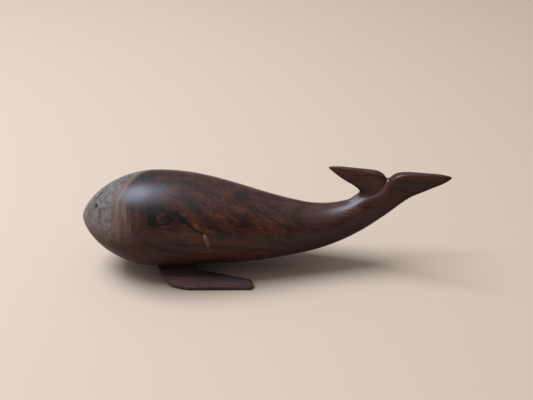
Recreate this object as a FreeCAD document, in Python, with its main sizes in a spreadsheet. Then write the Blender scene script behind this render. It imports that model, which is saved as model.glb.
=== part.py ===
# Carved hardwood whale figurine, resting on two pectoral fins that are let into its belly.
# X runs from the nose to the tail, +Y is the whale's right, Z is up and the floor is at Z = 0.
import FreeCAD, Part
import os
import re

import Sketcher
from FreeCAD import Placement, Rotation, Vector

# Driving sizes in millimetres; names that end in tilt, twist, lean or angle are in degrees.
sizes = {
    # head: a dome of revolution from the nose back to the fullest section
    "girth_place": -88,
    "girth_radius": 40,
    "head_length": 62,
    "nose_fullness": 2,
    "nose_roundness": 0.65,
    "nose_rise": 1.6,
    # trunk: tapers as half a cosine wave, and its spine sways down towards the tail
    "trunk_width_share": 0.985,
    "taper_length": 202,
    "stock_radius": 12,
    "spine_height": 46.4,
    "sway_delay": 8,
    "sway_drop": 9.2,
    "sway_length": 108,
    # tail stock: bends up on an arc and is carved thinner towards the flukes
    "tail_bend_radius": 102,
    "tail_bend_angle": 36,
    "stock_flattening": 0.31,
    # flukes: both lobes stand in one upright plane, twisted a little off the spine
    "fluke_twist": 8,
    "fluke_twist_place": 94,
    "rear_lobe_lean": 21,
    "rear_root_lean": 28.5,
    "front_lobe_lean": -52,
    "front_lobe_setback": 1.2,
    "front_lobe_start_run": 8,
    "front_lobe_start_rise": 8.3,
    # pectoral fins: flat blades, tilted up from the floor to the belly
    "fin_place": -88,
    "fin_spread": 37.5,
    "fin_tilt": 33,
    "fin_thickness": 5,
    "fin_length": 79.5,
    "fin_front_setback": 8,
    "fin_front_rise": 5,
    "fin_foot_start": 24,
    "fin_tip_width": 8,
    "fin_root_length": 34,
    "fin_root_side": 19,
    "fin_root_width": 25,
    "fin_heel_width": 17,
    "fin_heel_round": 3,
    "fin_front_round": 10,
    "fin_tip_round": 3.4,
    "fin_edge_ease": 1.2,
    "foot_cut": 1.0,
    # hidden joint: a shallow seat in the belly and two dowels for each fin
    "glue_gap": 0.1,
    "dowel_radius": 1.25,
    "dowel_length": 16,
    "dowel_end_ease": 0.3,
    "dowel_inset": 8,
    "dowel_end_room": 0.5,
}

# Stations of the two fluke lobes, each from the one before it:
# step along X, rise along Z, half chord, half thickness.
rear_lobe = {
    "root": (11.3, 8.8, 11.2, 7.0),
    "elbow": (10.5, 10.9, 12.3, 5.2),
    "heel": (5.2, 3.3, 11.5, 4.6),
    "middle": (9.8, 3.1, 9.3, 3.8),
    "outer": (11.0, 2.9, 6.3, 2.9),
    "end": (8.4, 2.1, 3.8, 2.1),
    "tip": (5.8, 1.6),
}
front_lobe = {
    "root": (0, 0, 9.0, 4.2),
    "crease": (-4.8, 8.2, 11.0, 3.8),
    "heel": (-6.0, 7.7, 10.9, 3.3),
    "middle": (-8.2, 3.7, 9.6, 2.7),
    "outer": (-10.8, 2.9, 6.3, 2.1),
    "end": (-7.3, 2.2, 3.6, 1.5),
    "tip": (-5.9, 1.4),
}
for lobe, stations in (("rear", rear_lobe), ("front", front_lobe)):
    for station, numbers in stations.items():
        for word, number in zip(("step", "rise", "chord", "thickness"), numbers):
            sizes[f"{lobe}_{station}_{word}"] = number

# Shares of the head's, trunk's and tail bend's lengths at which their sections stand.
head_shares = (0.985, 0.93, 0.8, 0.6, 0.38, 0.18)
trunk_shares = (0, 0.12, 0.27, 0.42, 0.56)
stock_shares = (0.28, 0.56, 0.8, 1)
# The nose rises and the stock flattens as this power of the share, so mostly at their ends.
late_power = 4
# Distance within which a point counts as a corner, and the rough size of unsolved sketches.
closeness = 0.01
rough = 1.0

doc = FreeCAD.newDocument("WhaleFigurine")
sheet = doc.addObject("Spreadsheet::Sheet", "Sizes")
for row, (alias, number) in enumerate(sizes.items(), start=1):
    sheet.set(f"A{row}", alias)
    sheet.set(f"B{row}", str(number))
    sheet.setAlias(f"B{row}", alias)
doc.recompute()


def cells(formula):
    """Point each word of a formula that is a size at its cell."""
    return re.sub("[a-z_]+", lambda word: f"Sizes.{word[0]}" if word[0] in sizes else word[0], formula)


def bind(item, **formulas):
    for name, formula in formulas.items():
        item.setExpression(name.replace("__", "."), cells(formula))


def put(item, x, y, z, angle=None, axis=(1, 0, 0)):
    """Place an item by formulas, turned by an angle about an axis."""
    any_turn = 30  # gives the rotation its axis, before the formula sets the angle
    item.Placement = Placement(Vector(0, 0, 0), Rotation(Vector(*axis), any_turn))
    bind(item, Placement__Base__x=x, Placement__Base__y=y, Placement__Base__z=z)
    bind(item, Placement__Rotation__Angle=angle or "0")


def section(name, x, y, z, half_depth, half_width, lean):
    """An ellipse across the carving; lean tips its upper edge towards the nose."""
    ellipse = doc.addObject("Part::Ellipse", name)
    bind(ellipse, MajorRadius=half_depth, MinorRadius=half_width)
    put(ellipse, x, y, z, f"90 + ({lean})", (0, -1, 0))
    return ellipse


def end_point(name, x, y, z):
    point = doc.addObject("Part::Vertex", name)
    bind(point, X=x, Y=y, Z=z)
    return point


def loft(name, sections):
    solid = doc.addObject("Part::Loft", name)
    solid.Sections = sections
    solid.Solid = True
    solid.Ruled = False
    return solid


def trunk_radius(run):
    """Half the wood's depth at a run of millimetres behind the fullest section."""
    wave = f"(1 + cos(180 * ({run}) / taper_length)) / 2"
    return f"stock_radius + (girth_radius - stock_radius) * {wave}"


def twist_offset(x):
    """Sideways place of the fluke plane at a place along the whale."""
    return f"(fluke_twist_place - ({x})) * tan(fluke_twist)"


nose_z = "spine_height + nose_rise"
body_sections = [end_point("nose", "girth_place - head_length", "0", nose_z)]
for share in head_shares:
    radius = f"girth_radius * pow(1 - pow({share}; nose_fullness); nose_roundness)"
    body_sections.append(section(
        "head", f"girth_place - head_length * {share}", "0",
        f"spine_height + nose_rise * pow({share}; {late_power})",
        radius, f"trunk_width_share * {radius}", "0"))

for share in trunk_shares:
    run = f"taper_length * {share}"
    sway = f"min(1; max(0; ({run} - sway_delay) / sway_length))"
    body_sections.append(section(
        "trunk", f"girth_place + {run}", "0",
        f"spine_height - sway_drop * (1 - cos(180 * {sway})) / 2",
        trunk_radius(run), f"trunk_width_share * ({trunk_radius(run)})", "0"))

bend_run = "sway_delay + sway_length"
for share in stock_shares:
    angle = f"tail_bend_angle * {share}"
    run = f"{bend_run} + tail_bend_radius * sin({angle})"
    flattened = f"trunk_width_share - stock_flattening * pow({share}; {late_power})"
    body_sections.append(section(
        "stock", f"girth_place + {run}", "0",
        f"spine_height - sway_drop + tail_bend_radius * (1 - cos({angle}))",
        trunk_radius(run), f"({flattened}) * ({trunk_radius(run)})", angle))
stock_x = f"girth_place + {bend_run} + tail_bend_radius * sin(tail_bend_angle)"
stock_z = "spine_height - sway_drop + tail_bend_radius * (1 - cos(tail_bend_angle))"


def lobe_sections(lobe, stations, x, z, leans, setback):
    """Sections of one lobe, each a step and a rise on from the one before it."""
    found = []
    for station in stations:
        x = f"{x} + {lobe}_{station}_step"
        z = f"{z} + {lobe}_{station}_rise"
        y = f"{twist_offset(x)} + {setback}"
        if station == "tip":
            found.append(end_point(f"{lobe}_tip", x, y, z))
        else:
            found.append(section(f"{lobe}_{station}", x, y, z, f"{lobe}_{station}_chord",
                                 f"{lobe}_{station}_thickness", leans.get(station, leans["rest"])))
    return found


rear_leans = {"root": "rear_root_lean", "rest": "rear_lobe_lean"}
body_sections += lobe_sections("rear", rear_lobe, stock_x, stock_z, rear_leans, "0")
spindle = loft("spindle", body_sections)

front_sections = lobe_sections("front", front_lobe, f"{stock_x} + front_lobe_start_run",
                               f"{stock_z} + front_lobe_start_rise",
                               {"rest": "front_lobe_lean"}, "front_lobe_setback")
front_blade = loft("front_blade", front_sections)

carving = doc.addObject("Part::Fuse", "carving")
carving.Base = spindle
carving.Tool = front_blade


# Each pectoral fin is drawn flat: x along the whale from the front of its root, y from the floor edge
# up to the belly. A side of 1 is the whale's right, -1 its left.


def origin_plane(body, role):
    return next(plane for plane in body.Origin.OriginFeatures if plane.Role == role)


def sketch_on(body, name, role):
    sketch = body.newObject("Sketcher::SketchObject", name)
    sketch.AttachmentSupport = [(origin_plane(body, role), "")]
    sketch.MapMode = "FlatFace"
    return sketch


def fix_point(sketch, edge, end, formulas):
    """Hold one end of an edge at formulas for its distances from the sketch's origin."""
    for kind, formula in zip(("DistanceX", "DistanceY"), formulas):
        if formula == "0":
            on_axis = -2 if kind == "DistanceX" else -1
            sketch.addConstraint(Sketcher.Constraint("PointOnObject", edge, end, on_axis))
        else:
            index = sketch.addConstraint(Sketcher.Constraint(kind, -1, 1, edge, end, rough))
            sketch.setExpression(f"Constraints[{index}]", cells(formula))


def closed_outline(sketch, corners):
    """Straight lines through corners, each corner a pair of formulas."""
    zigzag = [Vector(rough * (n + 9 * (n % 2)), rough * 5 * n, 0) for n in range(1, len(corners) + 1)]
    for n, start in enumerate(zigzag):
        sketch.addGeometry(Part.LineSegment(start, zigzag[(n + 1) % len(zigzag)]), False)
    for n in range(len(corners)):
        sketch.addConstraint(Sketcher.Constraint("Coincident", n, 2, (n + 1) % len(corners), 1))
    for n, formulas in enumerate(corners):
        fix_point(sketch, n, 1, formulas)


def edge_names(shape, wanted):
    return [f"Edge{n}" for n, edge in enumerate(shape.Edges, start=1) if wanted(edge)]


def corner_edges(shape, x, y):
    """The upright edges of a padded outline that stand over a corner of it."""
    def wanted(edge):
        ends = [vertex.Point for vertex in edge.Vertexes]
        return len(ends) == 2 and all(abs(p.x - x) < closeness and abs(p.y - y) < closeness for p in ends)
    return edge_names(shape, wanted)


def rounded(body, base, corners, radius):
    """Round upright corners of a fin's outline."""
    fillet = body.newObject("PartDesign::Fillet", "rounded")
    names = [name for x, y in corners for name in corner_edges(base.Shape, x, y)]
    fillet.Base = (base, names)
    bind(fillet, Radius=radius)
    doc.recompute()
    return fillet


def size(alias):
    return float(sheet.get(alias))


def make_fin(side, label):
    body = doc.addObject("PartDesign::Body", f"{label}_blade")
    outline = sketch_on(body, "outline", "XY_Plane")
    closed_outline(outline, [
        ("0", "fin_root_width"),
        ("0", "fin_root_side"),
        ("fin_front_setback", "fin_front_rise"),
        ("fin_foot_start", "0"),
        ("fin_length", "0"),
        ("fin_length", "fin_tip_width"),
        ("fin_root_length", "fin_heel_width"),
        ("fin_root_length", "fin_root_width"),
    ])
    pad = body.newObject("PartDesign::Pad", "blade")
    pad.Profile = outline
    pad.Reversed = side > 0
    bind(pad, Length="fin_thickness")
    doc.recompute()
    front = [(size("fin_front_setback"), size("fin_front_rise")), (size("fin_foot_start"), 0)]
    tip = [(size("fin_length"), 0), (size("fin_length"), size("fin_tip_width"))]
    shaped = rounded(body, pad, front, "fin_front_round")
    shaped = rounded(body, shaped, tip, "fin_tip_round")
    heel = [(size("fin_root_length"), size("fin_heel_width"))]
    shaped = rounded(body, shaped, heel, "fin_heel_round")
    top = -side * size("fin_thickness")

    def eased_edge(edge):
        box = edge.BoundBox
        on_top = abs(box.ZMin - top) < closeness and abs(box.ZMax - top) < closeness
        return on_top and box.YMax < size("fin_root_side") + closeness

    ease = body.newObject("PartDesign::Chamfer", "eased_edge")
    ease.Base = (shaped, edge_names(shaped.Shape, eased_edge))
    bind(ease, Size="fin_edge_ease")
    doc.recompute()

    holes = sketch_on(body, "dowel_holes", "XZ_Plane")
    bind(holes, AttachmentOffset__Base__z="- fin_root_width")
    for n, x in enumerate(("dowel_inset", "fin_root_length - dowel_inset")):
        centre = Vector(rough * (8 + 18 * n), -side * rough * 2, 0)
        holes.addGeometry(Part.Circle(centre, Vector(0, 0, 1), rough), False)
        index = holes.addConstraint(Sketcher.Constraint("Radius", n, rough))
        holes.setExpression(f"Constraints[{index}]", cells("dowel_radius + glue_gap"))
        fix_point(holes, n, 3, (x, f"{-side} * fin_thickness / 2"))
    doc.recompute()
    drilled = body.newObject("PartDesign::Pocket", "dowel_sockets")
    drilled.Profile = holes
    drilled.Reversed = True
    bind(drilled, Length="dowel_length / 2 + dowel_end_room")
    body.Tip = drilled
    put(body, "fin_place", f"{side} * fin_spread", "- foot_cut",
        "180 - fin_tilt" if side > 0 else "fin_tilt")
    doc.recompute()
    print(label, "sockets cut", round(ease.Shape.Volume - drilled.Shape.Volume, 1), "mm3")

    floor = doc.addObject("Part::Box", f"{label}_floor")
    bind(floor, Length="fin_length * 2", Width="fin_length * 2", Height="fin_length")
    put(floor, "fin_place - fin_length / 2", "- fin_length", "- fin_length")
    fin = doc.addObject("Part::Cut", label)
    fin.Base = body
    fin.Tool = floor
    return fin


def on_fin(side, x, y, z):
    """Formulas for a point that is given in a fin's own flat drawing, z up through the blade."""
    out = f"fin_spread - ({y}) * cos(fin_tilt) + ({z}) * sin(fin_tilt)"
    up = f"({y}) * sin(fin_tilt) + ({z}) * cos(fin_tilt) - foot_cut"
    return f"fin_place + {x}", f"{side} * ({out})", up


def make_dowel(side, x, label):
    body = doc.addObject("PartDesign::Body", label)
    profile = sketch_on(body, "round", "XY_Plane")
    profile.addGeometry(Part.Circle(Vector(0, 0, 0), Vector(0, 0, 1), rough), False)
    profile.addConstraint(Sketcher.Constraint("Coincident", 0, 3, -1, 1))
    index = profile.addConstraint(Sketcher.Constraint("Radius", 0, rough))
    profile.setExpression(f"Constraints[{index}]", cells("dowel_radius"))
    pad = body.newObject("PartDesign::Pad", "peg")
    pad.Profile = profile
    bind(pad, Length="dowel_length")
    doc.recompute()
    ends = body.newObject("PartDesign::Chamfer", "eased_ends")
    ends.Base = (pad, edge_names(pad.Shape, lambda edge: isinstance(edge.Curve, Part.Circle)))
    bind(ends, Size="dowel_end_ease")
    put(body, *on_fin(side, x, "fin_root_width - dowel_length / 2", "fin_thickness / 2"),
        "90 - fin_tilt", (side, 0, 0))
    return body


def seat_cutters(side):
    """The seat for a fin's root and the two dowel sockets above it."""
    seat = doc.addObject("Part::Box", "seat")
    bind(seat, Length="fin_root_length + 2 * glue_gap", Width="fin_root_width",
         Height="fin_thickness + 2 * glue_gap")
    corner_z = "- glue_gap" if side < 0 else "fin_thickness + glue_gap"
    put(seat, *on_fin(side, "- glue_gap", "glue_gap", corner_z),
        "180 - fin_tilt" if side > 0 else "fin_tilt")
    cutters = [seat]
    for x in ("dowel_inset", "fin_root_length - dowel_inset"):
        socket = doc.addObject("Part::Cylinder", "socket")
        bind(socket, Radius="dowel_radius + glue_gap", Height="dowel_length / 2 + dowel_end_room")
        put(socket, *on_fin(side, x, "fin_root_width", "fin_thickness / 2"),
            "90 - fin_tilt", (side, 0, 0))
        cutters.append(socket)
    return cutters


parts = []
cutters = []
for side, hand in ((-1, "left"), (1, "right")):
    parts.append(make_fin(side, f"{hand}_pectoral_fin"))
    parts.append(make_dowel(side, "dowel_inset", f"{hand}_fin_front_dowel"))
    parts.append(make_dowel(side, "fin_root_length - dowel_inset", f"{hand}_fin_rear_dowel"))
    cutters += seat_cutters(side)

joint_tools = doc.addObject("Part::MultiFuse", "joint_tools")
joint_tools.Shapes = cutters
whale_body = doc.addObject("Part::Cut", "body")
whale_body.Base = carving
whale_body.Tool = joint_tools
parts.insert(0, whale_body)
doc.recompute()

for item in doc.Objects:
    if "Invalid" in item.State or "Error" in item.State:
        raise RuntimeError(f"{item.Label} failed: {item.State}")
for part in parts:
    if part.Shape.isNull() or not part.Shape.isValid():
        raise RuntimeError(f"{part.Label} has no valid shape")

os.makedirs("parts", exist_ok=True)
for part in parts:
    part.Shape.exportStep(f"parts/{part.Label}.step")
    box = part.Shape.BoundBox
    print(part.Label, "solids", len(part.Shape.Solids), "volume", round(part.Shape.Volume, 1),
          "x", round(box.XMin, 1), round(box.XMax, 1), "y", round(box.YMin, 1),
          round(box.YMax, 1), "z", round(box.ZMin, 2), round(box.ZMax, 1))
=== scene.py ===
# A carved and waxed ironwood whale: one body with its flukes, two pectoral fins let into the belly
# and the dowels that pin them. Sizes are in millimetres and turn to metres where a mesh is made.
from math import cos, e, pi, radians, sin, tan

import bmesh
import bpy
import numpy as np
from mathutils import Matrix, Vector
from mathutils.kdtree import KDTree


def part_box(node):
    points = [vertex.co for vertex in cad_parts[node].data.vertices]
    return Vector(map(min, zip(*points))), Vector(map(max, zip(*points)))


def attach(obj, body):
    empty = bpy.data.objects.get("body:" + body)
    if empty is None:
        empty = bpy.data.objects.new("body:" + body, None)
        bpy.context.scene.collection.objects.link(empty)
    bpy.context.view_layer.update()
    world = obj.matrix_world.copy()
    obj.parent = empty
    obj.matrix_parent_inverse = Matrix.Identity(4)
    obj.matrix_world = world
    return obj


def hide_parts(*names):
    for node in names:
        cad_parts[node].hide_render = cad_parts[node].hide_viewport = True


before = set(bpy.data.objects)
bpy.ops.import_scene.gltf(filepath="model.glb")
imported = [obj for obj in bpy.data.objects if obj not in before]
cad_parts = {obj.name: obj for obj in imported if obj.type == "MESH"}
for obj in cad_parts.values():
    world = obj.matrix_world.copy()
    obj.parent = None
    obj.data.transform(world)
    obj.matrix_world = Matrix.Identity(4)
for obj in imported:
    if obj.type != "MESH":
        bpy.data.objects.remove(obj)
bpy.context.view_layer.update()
mm = 0.001
print("frame loaded:", sorted(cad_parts))

# how finely the surfaces are cut; a tip's three numbers are the first and the last distance from
# it, and how many rings crowd up to it
fineness = {
    "headRings": 60,
    "trunkRows": 40,
    "stockRows": 30,
    "bodyRings": 250,
    "bodyTip": (1, 0.02, 7),
    "bodyPoints": 180,
    "lobeRings": 70,
    "lobeTip": (0.7, 0.02, 6),
    "lobePoints": 110,
    "webRings": 50,
    "webPoints": 90,
    "finRings": 150,
    "finTipRings": 17,
    "finCornerPoints": 9,
    "finFacePoints": 14,
    "finEdgeSamples": 21,
    "socketPoints": 32,
    "holeRings": 16,
    "holePoints": 26,
    "crackRings": 38,
    "crackPoints": 12,
}


def boxOf(node):
    low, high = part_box(node)
    return np.array(low) / mm, np.array(high) / mm


def finishMesh(name, points, faces):
    mesh = bpy.data.meshes.new(name)
    mesh.from_pydata((np.asarray(points) * mm).tolist(), [], faces)
    made = bmesh.new()
    made.from_mesh(mesh)
    bmesh.ops.recalc_face_normals(made, faces=made.faces)
    made.to_mesh(mesh)
    made.free()
    piece = bpy.data.objects.new(name, mesh)
    bpy.context.scene.collection.objects.link(piece)
    return piece


def ringSurface(name, rings, firstPole, lastPole):
    # rings is one array, ring by point by xyz: a quad joins each point to its neighbour and to
    # the next ring, and a fan of triangles closes each end ring on its pole
    count, around = rings.shape[:2]
    start = np.arange(count - 1)[:, None] * around
    here = np.arange(around)[None, :]
    after = (here + 1) % around
    corners = (start + here, start + around + here, start + around + after, start + after)
    quads = np.stack(corners, axis=-1).reshape(-1, 4)
    poles = count * around, count * around + 1
    lastRing = (count - 1) * around
    here, after = here[0], after[0]
    fans = [np.stack([np.full(around, poles[0]), here, after], axis=-1),
            np.stack([np.full(around, poles[1]), lastRing + after, lastRing + here], axis=-1)]
    points = np.concatenate([rings.reshape(-1, 3), [firstPole, lastPole]])
    return finishMesh(name, points, quads.tolist() + np.concatenate(fans).tolist())


def splineRows(places, rows, wanted):
    # natural cubic through the rows: the second slopes solve a three-band system, and a value is
    # the straight line between two rows plus each end's second slope times (share cubed - share)
    step = np.diff(places)
    band = np.diag(np.r_[1, 2 * (step[:-1] + step[1:]), 1])
    inner = np.arange(1, len(places) - 1)
    band[inner, inner - 1] = step[:-1]
    band[inner, inner + 1] = step[1:]
    slope = np.diff(rows, axis=0) / step[:, None]
    bend = np.zeros_like(rows)
    bend[1:-1] = 6 * np.diff(slope, axis=0)
    bend = np.linalg.solve(band, bend)
    k = np.clip(np.searchsorted(places, wanted) - 1, 0, len(step) - 1)
    high = ((wanted - places[k]) / step[k])[:, None]
    low = 1 - high
    curve = (low ** 3 - low) * bend[k] + (high ** 3 - high) * bend[k + 1]
    return low * rows[k] + high * rows[k + 1] + curve * (step[k] ** 2)[:, None] / 6


def sectionRows(x, y, z, depth, width, lean=0.0, square=2.0):
    # each row is x, y, z, half depth, half width, lean in degrees and squareness
    return np.stack(np.broadcast_arrays(x, y, z, depth, width, lean, square), axis=-1)


def power(value, exponent):
    return np.sign(value) * np.abs(value) ** exponent


def ovalRings(rows, around):
    # each row's ring is the superellipse |depth| ^ squareness + |width| ^ squareness = 1, which is
    # an ellipse at 2, on an axis that leans forward
    x, y, z, depth, width, lean, square = rows.T[:, :, None]
    turn = np.linspace(0, 2 * pi, around, endpoint=False)[None, :]
    rise = depth * power(np.cos(turn), 2 / square)
    side = width * power(np.sin(turn), 2 / square)
    lean = np.radians(lean)
    return np.stack([x - np.sin(lean) * rise, y + side, z + np.cos(lean) * rise], axis=-1)


def alongRows(rows):
    # distance along the centres of the rows
    return np.r_[0, np.cumsum(np.linalg.norm(np.diff(rows[:, :3], axis=0), axis=1))]


# body: nose, trunk and stock
trunk = {
    "girthRadius": 40,
    "headLength": 62,
    "noseRoundness": 0.65,
    "noseRise": 1.6,
    "widthShare": 0.985,
    "taperLength": 202,
    "stockRadius": 12,
    "swayDelay": 8,
    "swayDrop": 9.2,
    "swayLength": 108,
    "bendRadius": 102,
    "bendAngle": 36,
    "flattening": 0.31,
    "squaring": 0.3,
    "latePower": 4,
}

# body: the two lobes of the flukes, as step, rise, half chord and half thickness, and the web
# between the stock and the front lobe
tail = {
    "twist": 8,
    "twistPlace": 94,
    "rear": [(11.7, 8.1, 10.4, 7.0), (10.1, 11.6, 12.3, 5.2), (5.2, 3.3, 11.5, 4.6),
             (9.8, 3.1, 9.3, 3.8), (11.0, 2.9, 6.3, 2.9), (8.4, 2.1, 3.8, 2.1), (5.8, 1.6, 0.9, 0.8)],
    "rearLeans": (28.5, 21, 21, 21, 21, 21, 21),
    "rearSquares": (4, 4.6, 4.2, 3.4, 2.8, 2.3, 2),
    "front": [(0, 0, 9.0, 6.0), (-4.3, 8.6, 11.7, 4.7), (-6.0, 7.7, 11.6, 3.7), (-8.7, 3.3, 9.6, 2.8),
              (-10.8, 2.9, 6.3, 2.1), (-7.3, 2.2, 3.6, 1.5), (-5.9, 1.4, 0.8, 0.6)],
    "frontLean": -52,
    "frontSquares": (2.3, 2.8, 3.2, 3.2, 2.8, 2.3, 2),
    "frontStart": (8, 8.3),
    "frontSetback": 0.6,
    "tipLength": 1.6,
    "web": [(-28, 16.2, 0, 10), (-16, 14.9, 0.4, 9.5), (-7, 15.4, 1.4, 9),
            (0, 16, 2.4, 8), (5, 16.6, 3, 7), (10, 14, 3.4, 6)],
    "webDepth": 10,
    "webSquare": 1.5,
}

# body: slow shallow waves that the rasp and the sanding leave, each a slope and a phase
rasp = {
    "depth": 0.1,
    "waves": [((1 / 9.1, 0, 1 / 6.7), 0), ((1 / 5.3, -1 / 7.9, 0), 1.1), ((1 / 17, 1 / 11, 1 / 4.9), 0)],
}

# body: the hollow folds where two carved shapes meet
folds = {
    "angle": 6,
    "reach": 5,
    "passes": 70,
    "pull": 0.6,
}

noseX = boxOf("body")[0][0]
girthX = noseX + trunk["headLength"]
spineZ = boxOf("body")[0][2] + trunk["girthRadius"]
swayEnd = trunk["swayDelay"] + trunk["swayLength"]


def woodRadius(run):
    # half a cosine wave from the girth's radius down to the stock's
    wave = (1 + np.cos(pi * run / trunk["taperLength"])) / 2
    return trunk["stockRadius"] + (trunk["girthRadius"] - trunk["stockRadius"]) * wave


def headRows(count):
    # radius = girth radius * (1 - share squared) ^ roundness, with shares crowded at the nose
    share = np.sin(np.linspace(pi / 2, 0, count + 2))[1:-1]
    radius = trunk["girthRadius"] * (1 - share ** 2) ** trunk["noseRoundness"]
    x = girthX - trunk["headLength"] * share
    z = spineZ + trunk["noseRise"] * share ** trunk["latePower"]
    return sectionRows(x, 0, z, radius, trunk["widthShare"] * radius)


def trunkRows(count):
    # the spine sways down as half a cosine wave
    run = np.linspace(0, swayEnd, count)
    sway = np.clip((run - trunk["swayDelay"]) / trunk["swayLength"], 0, 1)
    z = spineZ - trunk["swayDrop"] * (1 - np.cos(pi * sway)) / 2
    radius = woodRadius(run)
    return sectionRows(girthX + run, 0, z, radius, trunk["widthShare"] * radius)


def stockRows(count):
    # the spine bends up on an arc, and the wood gets narrower and squarer late in the bend
    share = np.linspace(0, 1, count + 1)[1:]
    angle = np.radians(trunk["bendAngle"] * share)
    run = swayEnd + trunk["bendRadius"] * np.sin(angle)
    z = spineZ - trunk["swayDrop"] + trunk["bendRadius"] * (1 - np.cos(angle))
    late = share ** trunk["latePower"]
    width = (trunk["widthShare"] - trunk["flattening"] * late) * woodRadius(run)
    square = 2 + trunk["squaring"] * late
    return sectionRows(girthX + run, 0, z, woodRadius(run), width, np.degrees(angle), square)


def lobeRows(stations, start, leans, squares, setback):
    # each station is a step and a rise on from the last, with its half chord and half thickness;
    # the lobe stands in a plane that is twisted off the spine
    step, rise, chord, thickness = np.array(stations, float).T
    x = start[0] + np.cumsum(step)
    z = start[1] + np.cumsum(rise)
    y = (tail["twistPlace"] - x) * tan(radians(tail["twist"])) + setback
    return sectionRows(x, y, z, chord, thickness, leans, squares)


def tippedRows(rows, count, crowd):
    # rows at even places and then crowded up to the tip, which closes in its last millimetres as a
    # quarter of an ellipse instead of a point
    places = alongRows(rows)
    wanted = np.r_[np.linspace(0, places[-1], count)[:-1], places[-1] - np.geomspace(*crowd)]
    smooth = splineRows(places, rows, wanted)
    left = np.clip((wanted[-1] - wanted) / tail["tipLength"], 0, 1)
    smooth[:, 3:5] *= np.sqrt(1 - (1 - left) ** 2)[:, None]
    return smooth


def carvedWaves(points):
    # the mean of the sines of slope . place + phase, brought to between 0 and the depth inwards
    waves = [np.sin(points @ np.array(slope) + phase) for slope, phase in rasp["waves"]]
    return rasp["depth"] * (np.mean(waves, axis=0) - 1) / 2


def makeSpindle():
    # nose, trunk, stock and rear lobe as one run of rings; the stock's rows go back with it
    thick = np.concatenate([trunkRows(fineness["trunkRows"]), stockRows(fineness["stockRows"])])
    lobe = lobeRows(tail["rear"], thick[-1, [0, 2]], tail["rearLeans"], tail["rearSquares"], 0)
    rows = np.concatenate([thick, lobe])
    smooth = tippedRows(rows, fineness["bodyRings"], fineness["bodyTip"])
    rings = ovalRings(np.concatenate([headRows(fineness["headRings"]), smooth]), fineness["bodyPoints"])
    outward = rings - rings.mean(axis=1, keepdims=True)
    outward /= np.linalg.norm(outward, axis=-1, keepdims=True)
    rings += outward * carvedWaves(rings)[..., None]
    nosePole = (noseX, 0, spineZ + trunk["noseRise"])
    return ringSurface("whaleBody", rings, nosePole, rows[-1, :3]), thick


def makeFrontLobe(stockEnd):
    start = stockEnd[[0, 2]] + tail["frontStart"]
    rows = lobeRows(tail["front"], start, tail["frontLean"], tail["frontSquares"], tail["frontSetback"])
    smooth = tippedRows(rows, fineness["lobeRings"], fineness["lobeTip"])
    return ringSurface("frontLobe", ovalRings(smooth, fineness["lobePoints"]), rows[0, :3], rows[-1, :3])


def makeWeb(stock):
    # a soft ridge that climbs the top of the stock to the front lobe: each station is a run along
    # the stock from its end, the ridge's height over the axis, its place across, its half width
    run, top, y, width = np.array(tail["web"], float).T
    along = alongRows(stock) - alongRows(stock)[-1]
    lean = np.interp(run, along, stock[:, 5])
    ahead, upward = np.cos(np.radians(lean)), np.sin(np.radians(lean))
    past = np.maximum(run, 0)
    lift = top - tail["webDepth"]
    x = np.interp(run, along, stock[:, 0]) + past * ahead - lift * upward
    z = np.interp(run, along, stock[:, 2]) + past * upward + lift * ahead
    rows = sectionRows(x, y, z, tail["webDepth"], width, lean, tail["webSquare"])
    places = alongRows(rows)
    smooth = splineRows(places, rows, np.linspace(0, places[-1], fineness["webRings"]))
    return ringSurface("web", ovalRings(smooth, fineness["webPoints"]), rows[0, :3], rows[-1, :3])


def combine(piece, other, operation):
    change = piece.modifiers.new(operation, "BOOLEAN")
    change.operation = operation
    change.solver = "EXACT"
    change.object = other
    bpy.context.view_layer.update()
    solved = piece.evaluated_get(bpy.context.evaluated_depsgraph_get())
    mesh = bpy.data.meshes.new_from_object(solved)
    piece.modifiers.clear()
    piece.data = mesh
    bpy.data.objects.remove(other)


def softenCreases(piece):
    # the points near a hollow fold are drawn again and again to the mean of their neighbours, less
    # so further off; only moves outwards are kept, so that the fold fills to the radius that a
    # gouge leaves and the edges beside it stay
    made = bmesh.new()
    made.from_mesh(piece.data)
    sharpest = -radians(folds["angle"])
    inner = [edge for edge in made.edges if len(edge.link_faces) == 2]
    hollow = [edge for edge in inner if edge.calc_face_angle_signed() < sharpest]
    tree = KDTree(len(hollow))
    for number, edge in enumerate(hollow):
        tree.insert((edge.verts[0].co + edge.verts[1].co) / 2, number)
    tree.balance()
    away = np.array([tree.find(vert.co)[2] for vert in made.verts]) / mm
    normals = np.array([vert.normal[:] for vert in made.verts])
    made.free()
    mesh = piece.data
    points = np.empty(len(mesh.vertices) * 3)
    mesh.vertices.foreach_get("co", points)
    points = points.reshape(-1, 3)
    ends = np.empty(len(mesh.edges) * 2, int)
    mesh.edges.foreach_get("vertices", ends)
    first, second = ends.reshape(-1, 2).T
    share = np.sqrt(np.clip(1 - away / folds["reach"], 0, 1))[:, None]
    count = np.bincount(np.r_[first, second], minlength=len(points))[:, None]
    moved = points.copy()
    for _ in range(folds["passes"]):
        total = np.zeros_like(moved)
        np.add.at(total, first, moved[second])
        np.add.at(total, second, moved[first])
        moved += folds["pull"] * share * (total / count - moved)
    outward = np.sum((moved - points) * normals, axis=1, keepdims=True)
    points = np.where(outward > 0, moved, points)
    mesh.vertices.foreach_set("co", points.ravel())
    mesh.update()
    print("creases softened:", len(hollow), "folds,", int((outward > 0).sum()), "points")


def markUpward(piece):
    # how far each point faces up, 1 to -1, kept on the mesh for its wax coat and for the painted shade on the
    # faces that look down
    upward = np.array([normal.vector.z for normal in piece.data.vertex_normals])
    piece.data.attributes.new("upward", "FLOAT", "POINT").data.foreach_set("value", upward)


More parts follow.
